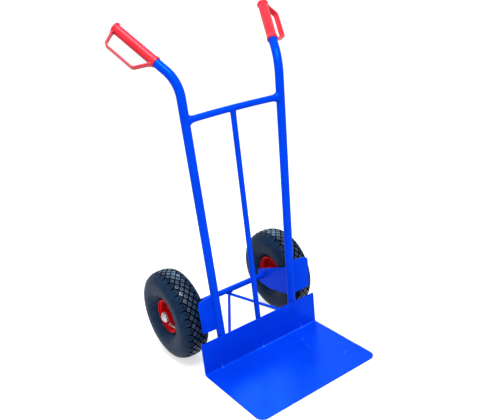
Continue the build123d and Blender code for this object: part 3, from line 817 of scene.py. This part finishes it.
for side, word in SIDES:
    for node in ("axle_spacer", "inner_washer", "outer_washer"):
        low, high = (np.array(corner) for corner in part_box(f"{node}_{word}"))
        ends = sorted((abs(low[0]), abs(high[0])))
        section = ring_profile(*ends, AXLE_RADIUS + 0.00005, (high[2] - low[2]) / 2)
        place(f"{node}_turned_{word}", Shell().grid(turned(side, section), round_u=True), "frame", zinc,
              (f"{node}_{word}",))
    low, high = (np.array(corner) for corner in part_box(f"axle_cap_{word}"))
    start, end = sorted((abs(low[0]), abs(high[0])))
    radius = (high[2] - low[2]) / 2
    rim, sheet = 0.002, 0.0012
    rise = end - start - rim
    sphere = (radius**2 + rise**2) / (2 * rise)
    angle = np.linspace(np.arcsin((radius - 0.0006) / sphere), 0, 22)
    dome = [(end - sphere * (1 - np.cos(a)), sphere * np.sin(a)) for a in angle]
    inner = [(v - sheet, max(r - sheet * 0.2, 0)) for v, r in dome[::-1]]
    section = [*dome, *inner, (start + sheet, radius - sheet), (start + sheet, AXLE_RADIUS + 0.0001),
               (start, AXLE_RADIUS + 0.0001), (start, radius - 0.0005), (start + 0.0003, radius - 0.0001),
               (start + rim * 0.7, radius), (start + rim, radius - 0.0001)]
    place(f"cap_{word}", Shell().grid(turned(side, section), round_u=True), "frame", bright,
          (f"axle_cap_{word}",), sharp=50)


# ======= wheels =======
def radial(angle):
    """Directions square to the axle: 0 towards the load, a quarter turn upwards."""
    return line_of(0, -np.cos(angle), np.sin(angle))


def hub_middle(side):
    """The middle of a wheel."""
    return np.array((side * TRACK, AXLE[1], AXLE[2]))


def on_wheel(side, offset, radius, angle):
    """Points of a wheel: the offset is outwards along the axle, from the wheel's middle."""
    return hub_middle(side) + offset[..., None] * (side, 0, 0) + radius[..., None] * radial(angle)


def revolve(side, profile, segments=192):
    """A section of (offset outwards from the wheel's middle, radius) turned about the axle."""
    return on_wheel(side, profile[:, :1], profile[:, 1:], np.arange(segments) * TURN / segments)


def through(first, middle, last, count):
    """Points of the flat arc from first to last that passes through middle."""
    a, b, c = (complex(*point) for point in (first, middle, last))
    w = (c - a) / (b - a)
    centre = a + (b - a) * (w - abs(w)**2) / (2j * w.imag)
    start = a - centre
    sweep = np.angle((c - centre) / start)
    return arc_points((centre.real, centre.imag), (start.real, start.imag), sweep, count)


SHOULDER = 0.037, TYRE_RADIUS - 0.009
SIDEWALL = TYRE_HALF_WIDTH, 0.104
crown = np.concatenate([
    through((0, TYRE_RADIUS), (0.021, TYRE_RADIUS - 0.002), SHOULDER, 30),
    through(SHOULDER, (0.0475, 0.125), SIDEWALL, 22)[1:],
    through(SIDEWALL, (0.045, 0.080), (0.025, 0.060), 34)[1:],
])
crown_length = distances(crown)
crown_tangent = unit(np.gradient(crown, crown_length, axis=0))
crown_normal = np.stack([crown_tangent[:, 1], -crown_tangent[:, 0]], -1)


def on_crown(across, depth):
    """(offset, radius) at a distance across the tread from its middle, and a depth below it."""
    reach = np.abs(across)
    offset, radius = (np.interp(reach, crown_length, crown[:, k])
                      + depth * np.interp(reach, crown_length, crown_normal[:, k]) for k in (0, 1))
    return np.sign(across) * offset, radius


def carcass(side, shell):
    """The tyre under its blocks: the crown sunk by the tread's depth, full size on the shoulder."""
    fine = np.linspace(0, crown_length[-1], 240)
    rise = np.clip((fine - TREAD_EDGE) / 0.003, 0, 1)
    sink = TREAD_DEPTH * (1 - rise**2 * (3 - 2 * rise))
    ridge = 0.0007 * np.exp(-((fine - 0.0910) / 0.0012)**2)
    outer = np.stack(on_crown(fine, sink - ridge), -1)
    inner = np.concatenate([[(0.025, 0.0515), (0.0237, 0.0505), (0.0182, 0.0505), (0.017, 0.0515)],
                            [(0.019, 0.064)],
                            through((0.019, 0.064), (0.039, 0.083), (0.043, 0.104), 12)[1:],
                            through((0.043, 0.104), (0.034, 0.131), (0, TYRE_RADIUS - 0.009), 14)[1:]])
    half = np.concatenate([outer, inner])
    # Painted shade: the groove floor and the inner side get none and turn near black; the shoulder and
    # sidewall get SHOULDER_SHADE.
    shade = np.clip((fine - TREAD_EDGE) / 0.004, 0, 1) * SHOULDER_SHADE
    shade = np.concatenate([shade, np.zeros(len(inner))])
    section = np.concatenate([half, (half * (-1, 1))[::-1][1:-1]])
    both = np.concatenate([shade, shade[::-1][1:-1]])
    shell.grid(revolve(side, section, 288), round_u=True, shade=both[:, None])


def tread(side, shell):
    """Rows of square blocks turned 45 degrees, each with a shallow dimple."""
    pitch = TURN / TREAD_COUNT
    half_round = pitch * TYRE_RADIUS / 2
    keep = 1 - GROOVE * sqrt(half_round**2 + ROW_SPACING**2) / (2 * half_round * ROW_SPACING)
    wide, tall = half_round * keep, ROW_SPACING * keep
    diamond = rounded([(wide, 0), (0, tall), (-wide, 0), (0, -tall)], [0.0011] * 4, 3)
    middle_row = (TREAD_ROWS - 1) / 2
    reach = TREAD_EDGE + 0.0030 - middle_row * ROW_SPACING
    edge_row = rounded([(wide, 0), (half_round * 0.97, reach), (-half_round * 0.97, reach),
                        (-wide, 0), (0, -tall)], [0.001, 0.0004, 0.0004, 0.001, 0.001], 3)
    scale, depth, shade = np.array(BLOCK_RINGS).T
    for row in range(TREAD_ROWS):
        across = (row - middle_row) * ROW_SPACING
        outer = {0: -1, TREAD_ROWS - 1: 1}.get(row, 0)
        outline = edge_row * (1, outer) if outer else diamond
        middle = np.array((0, 0.0012 * outer)) if outer else outline.mean(0)
        rings = middle + (outline - middle) * scale[:, None, None]
        angle = TREAD_START[side] + np.arange(TREAD_COUNT) * pitch + (row % 2) * pitch / 2
        around = angle[:, None, None] + rings[None, :, :, 0] / TYRE_RADIUS
        offset, radius = on_crown(across + rings[..., 1], depth[:, None])
        # Painted shade: each ring's paleness from BLOCK_RINGS, lowered on the outer rows.
        level = shade[None, :, None] * (SHOULDER_SHADE if outer else 1.0)
        shell.many(on_wheel(side, offset, radius, around), shade=level)


def sheet_section(middle_line, thickness, bends):
    """A closed section: a middle line with rounded corners, thickened by half to either side."""
    line = rounded(middle_line, bends, 8, closed=False)
    tangent = unit(np.gradient(line, axis=0))
    normal = np.stack([-tangent[:, 1], tangent[:, 0]], -1)
    end = line[-1] + arc_points((0, 0), normal[-1] * thickness / 2, -pi, 6)[1:-1]
    return np.concatenate([line + normal * thickness / 2, end, (line - normal * thickness / 2)[::-1]])


def hexagon(side, centre, offset, height, dome):
    """A hexagon head or nut with its corners turned off by a cone on the far side.

    At the angle a the radius is half the flats / cos(a less the nearest flat's own angle).
    """
    inside = BOLT_FLATS / 2
    angle = np.arange(36) * TURN / 36
    across = inside / np.cos((angle + pi / 6) % (pi / 3) - pi / 6)
    rings = []
    for radius, level in ((0 * across, 0), (across * 0.97, 0), (across, 0.0003 / height),
                          (across, 1 - 0.0014 / height),
                          (np.minimum(across, inside + 0.0002), 1 - 0.0003 / height),
                          (np.full(36, inside * 0.93), 1.0), (across * dome, 1.0), (0 * across, 1.0)):
        ring = radius[:, None] * line_of(0, np.cos(angle), np.sin(angle))
        rings.append(centre + ring + (side * (offset + level * height), 0, 0))
    return np.array(rings)


def rims(side, word):
    """Both rim halves: a disc with a pressed ring, the barrel, and a lip rolled back on itself."""
    line = [(0.001, HUB_RADIUS), (0.001, 0.0405), (0.0030, BARREL_RADIUS - 0.0030),
            (RIM_FLANGE, BARREL_RADIUS), (RIM_FLANGE, LIP_RADIUS - 0.0002),
            (RIM_HALF - 0.0006, LIP_RADIUS - 0.0002), (RIM_HALF - 0.0009, LIP_RADIUS - 0.0030)]
    for face, label in ((1, "outer"), (-1, "inner")):
        section = sheet_section(line, RIM_SHEET, [0.003, 0.005, 0.008, 0.0015, 0.0013]) * (face, 1)
        place(f"rim_{label}_{word}", Shell().grid(revolve(side, section, 160), round_u=True),
              f"{word}_wheel", red_rim, (f"rim_{label}_half_{word}",), sharp=50)


def hub(side, word):
    """The hub with a chamfer at both mouths and a fillet weld to each disc."""
    section = ring_profile(-HUB_HALF, HUB_HALF, 0.015, HUB_RADIUS, 0.0008)
    shell = Shell().grid(revolve(side, section, 128), round_u=True)
    ring = radial(turn)
    for face in (-side, side):
        line = hub_middle(side) + (face * 0.0022, 0, 0) + ring * (HUB_RADIUS + 0.0004)
        shell.weld(line, ring + (face, 0, 0), 0.0017, closed=True)
    place(f"hub_{word}", shell, f"{word}_wheel", red_rim, (f"hub_tube_{word}",))


def rim_bolts(side, word):
    """Four bolts through both discs, each with its washer and thread, and their nuts."""
    bolts, nuts = Shell(), Shell()
    washer = [(RIM_SHEET - 0.0003, 0.0), (RIM_SHEET - 0.0003, 0.0075), (RIM_SHEET + 0.0005, 0.0075),
              (RIM_SHEET + 0.0006, 0.0)]
    end = -(RIM_SHEET + NUT_HEIGHT + 0.003)
    thread = [(end + 0.0004 + s, THREAD_RADIUS - 0.0004 * abs(s / THREAD_PITCH % 1 * 2 - 1))
              for s in np.linspace(0, 0.0088, 60)]
    thread = [(end, 0.0), (end, 0.0031), *thread, (0.0, THREAD_RADIUS), (0.0, 0.0)]
    for k in range(4):
        centre = hub_middle(side) + radial(np.array(k * pi / 2)) * BOLT_CIRCLE
        bolts.grid(hexagon(side, centre, RIM_SHEET + 0.0001, BOLT_HEAD, 0.80))
        bolts.grid(lathe(centre, (side, 0, 0), washer, 40))
        bolts.grid(lathe(centre, (side, 0, 0), thread, 24))
        nuts.grid(hexagon(side, centre, -RIM_SHEET - 0.0001, -NUT_HEIGHT, 0.62))
    place(f"bolts_{word}", bolts, f"{word}_wheel", red_rim, (f"rim_bolts_{word}",), sharp=30)
    place(f"nuts_{word}", nuts, f"{word}_wheel", red_rim, (f"rim_nuts_{word}",), sharp=30)


def valve(side, word):
    """A moulded foot, a threaded stem and a ribbed cap, leaning outwards over the rim."""
    spoke, outward = radial(np.array(VALVE_ANGLE)), np.array((side, 0, 0))
    root = hub_middle(side) + outward * VALVE_ROOT[0] + spoke * VALVE_ROOT[1]
    lean = outward * sin(VALVE_LEAN) - spoke * cos(VALVE_LEAN)
    thread = [(s, 0.0040 + 0.00025 * np.sin(TURN * s / 0.0009)) for s in np.linspace(0.008, 0.0236, 110)]
    stem = [(0.0, 0.0), (0.0, 0.0044), (0.007, 0.0046), (0.0078, 0.0042), *thread,
            (0.0239, 0.0036), (0.0240, 0.0)]
    place(f"valve_stem_turned_{word}", Shell().grid(lathe(root, lean, stem, 40)), f"{word}_wheel",
          valve_brass, (f"valve_stem_{word}",), sharp=60)
    outline = rounded([(0.0241, 0.0), (0.0241, 0.0054), (0.0262, 0.0057), (0.0318, 0.0055),
                       (0.0330, 0.0042), (0.0330, 0.0)], [0.0006] * 4, 4, closed=False)
    smooth = lathe(root, lean, outline, 96)
    middle = root + lean * ((smooth - root) @ lean)[..., None]
    waves = np.sign(np.sin(np.arange(96) * TURN / 96 * 16))[None, :, None]
    ribbed = ((outline[:, 0] > 0.0255) & (outline[:, 0] < 0.0322))[:, None, None]
    points = middle + (smooth - middle) * (1 + 0.045 * waves * ribbed)
    place(f"valve_cap_ribbed_{word}", Shell().grid(points), f"{word}_wheel", cap_plastic,
          (f"valve_cap_{word}",), sharp=35)


for side, word in SIDES:
    tyre = Shell()
    carcass(side, tyre)
    tread(side, tyre)
    place(f"tyre_moulded_{word}", tyre, f"{word}_wheel", tread_rubber, (f"tyre_{word}",), sharp=32)
    rims(side, word)
    hub(side, word)
    rim_bolts(side, word)
    valve(side, word)
    for node, finish in ((f"inner_tube_{word}", tube_rubber), (f"hub_bushes_{word}", nylon)):
        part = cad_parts[node]
        part.data.materials.clear()
        part.data.materials.append(finish)


# ======= grips =======
def grip(side, word):
    """A closed sleeve with a cuff and a collar, and the knuckle strap that stands off it.

    The strap's section at the angle a is half its width * sgn(cos a) |cos a|^(1/4) by half its
    thickness * sgn(sin a) |sin a|^(1/2).
    """
    axis = handle_axis(side)
    start = side_point(side, BEND_HEIGHT) + HANDLE_REACH * (side, 1, 1) - axis * GRIP_LENGTH
    standing = STRAP_SIDE * (side, 1, 1)
    across = unit(standing - axis * (standing @ axis))
    bore = SIDE_RADIUS + 0.0001
    outline = rounded([(0.0, bore), (0.0, CUFF_RADIUS), (0.009, CUFF_RADIUS), (0.012, GRIP_RADIUS),
                       (GRIP_LENGTH - 0.0085, GRIP_RADIUS), (GRIP_LENGTH - 0.006, COLLAR_RADIUS),
                       (GRIP_LENGTH, COLLAR_RADIUS), (GRIP_LENGTH, 0.0)],
                      [0, 0.0015, 0.001, 0.003, 0.003, 0.001, 0.0028, 0], 7)
    body = [*outline, (GRIP_LENGTH - GRIP_WALL, 0.0), (GRIP_LENGTH - GRIP_WALL, bore)]
    shell = Shell().grid(lathe(start, axis, body, 96), round_u=True)
    path = rounded([(0.008, GRIP_RADIUS - 0.003), (STRAP_LOW, STRAP_REACH), (STRAP_HIGH, STRAP_REACH),
                    (GRIP_LENGTH - 0.005, GRIP_RADIUS - 0.003)], [0.011, 0.011], 14, closed=False)
    length = distances(path)
    fine = np.linspace(0, length[-1], 150)
    line = np.stack([np.interp(fine, length, path[:, k]) for k in (0, 1)], -1)
    tangent = unit(np.gradient(line, axis=0))
    # The strap thickens towards its two roots on the sleeve.
    root = np.exp(-((np.minimum(fine, fine[-1] - fine) / 0.0075)**2))
    half_thick = STRAP_THICKNESS / 2 * (1 + 0.9 * root)
    half_wide = STRAP_WIDTH / 2 * (1 + 0.12 * root)
    angle = np.arange(40) * TURN / 40
    wide = np.sign(np.cos(angle)) * np.abs(np.cos(angle))**0.25
    thick = np.sign(np.sin(angle)) * np.abs(np.sin(angle))**0.5
    centre = start + line[:, :1] * axis + line[:, 1:] * across
    normal = -tangent[:, 1:] * axis + tangent[:, :1] * across
    strap = centre[:, None] + half_thick[:, None, None] * thick[None, :, None] * normal[:, None] + \
        half_wide[:, None, None] * wide[None, :, None] * np.cross(axis, across)
    closed = np.concatenate([centre[:1, None] + 0 * strap[:1], strap, centre[-1:, None] + 0 * strap[-1:]])
    shell.grid(closed)
    place(f"grip_moulded_{word}", shell, "frame", red_vinyl, (f"grip_{word}",), sharp=50)


for side, word in SIDES:
    grip(side, word)

# ======= camera, floor and light =======
TARGET = Vector((-0.0325, -0.0190, 0.5061))
BACK = Vector((-0.5085, -0.7794, 0.3660)).normalized()
DISTANCE = 1.9415
HEADING, ROLL = radians(-33.12), radians(-6.41)
GROUND = 90.0  # half the floor's width
camera_data = bpy.data.cameras.new("camera")
camera_data.lens, camera_data.sensor_width, camera_data.sensor_fit = 48.148, 36.0, "HORIZONTAL"
camera_data.clip_start, camera_data.clip_end = 0.05, 50.0
camera = add("camera", camera_data)
right = Vector((cos(HEADING), sin(HEADING), 0))
up = BACK.cross(right)
axis_x = right * cos(ROLL) + up * sin(ROLL)
axis_y = -right * sin(ROLL) + up * cos(ROLL)
camera.matrix_world = Matrix.Translation(TARGET + BACK * DISTANCE) @ \
    Matrix((axis_x, axis_y, BACK)).transposed().to_4x4()
bpy.context.scene.camera = camera

corners = [(x * GROUND, y * GROUND, -0.0103) for x, y in ((-1, -1), (1, -1), (1, 1), (-1, 1))]
ground = Shell().plate(np.array(corners), np.array((0, 0, 0.02)))
floor = add("floor", ground.mesh("floor", 30))
paper = Finish("studio_floor", Roughness=0.9, Specular_IOR_Level=0.1,
               Base_Color=colour(0.38, 0.38, 0.38), Emission_Color=colour(1.0, 1.0, 1.0),
               Emission_Strength=0.62)
floor.data.materials.append(paper.material)


def lamp(name, where, aim, kind, power, **sizes):
    """A light at one place, turned towards another."""
    light = bpy.data.lights.new(name, kind)
    light.energy = power
    for setting, value in sizes.items():
        setattr(light, setting, value)
    obj = add(name, light)
    obj.location = where
    obj.rotation_euler = (Vector(aim) - Vector(where)).to_track_quat("-Z", "Y").to_euler()


middle = (0, 0, 0.45)
lamp("key", (-0.5, -1.0, 3.2), middle, "AREA", 125, size=1.1)
lamp("sky", (-0.8, -1.4, 4.0), middle, "SUN", 0.4, angle=radians(40))
lamp("rear", (0.95, 1.5, 1.6), (-0.1, 0, 0.1), "AREA", 26, size=0.9, color=(0.45, 0.76, 1.0))
world = bpy.data.worlds.new("studio")
bpy.context.scene.world = world
world.use_nodes = True
background = world.node_tree.nodes["Background"].inputs
background["Color"].default_value = colour(1.0, 1.0, 1.0)
background["Strength"].default_value = 1.0
bpy.context.scene.view_settings.view_transform = "Standard"
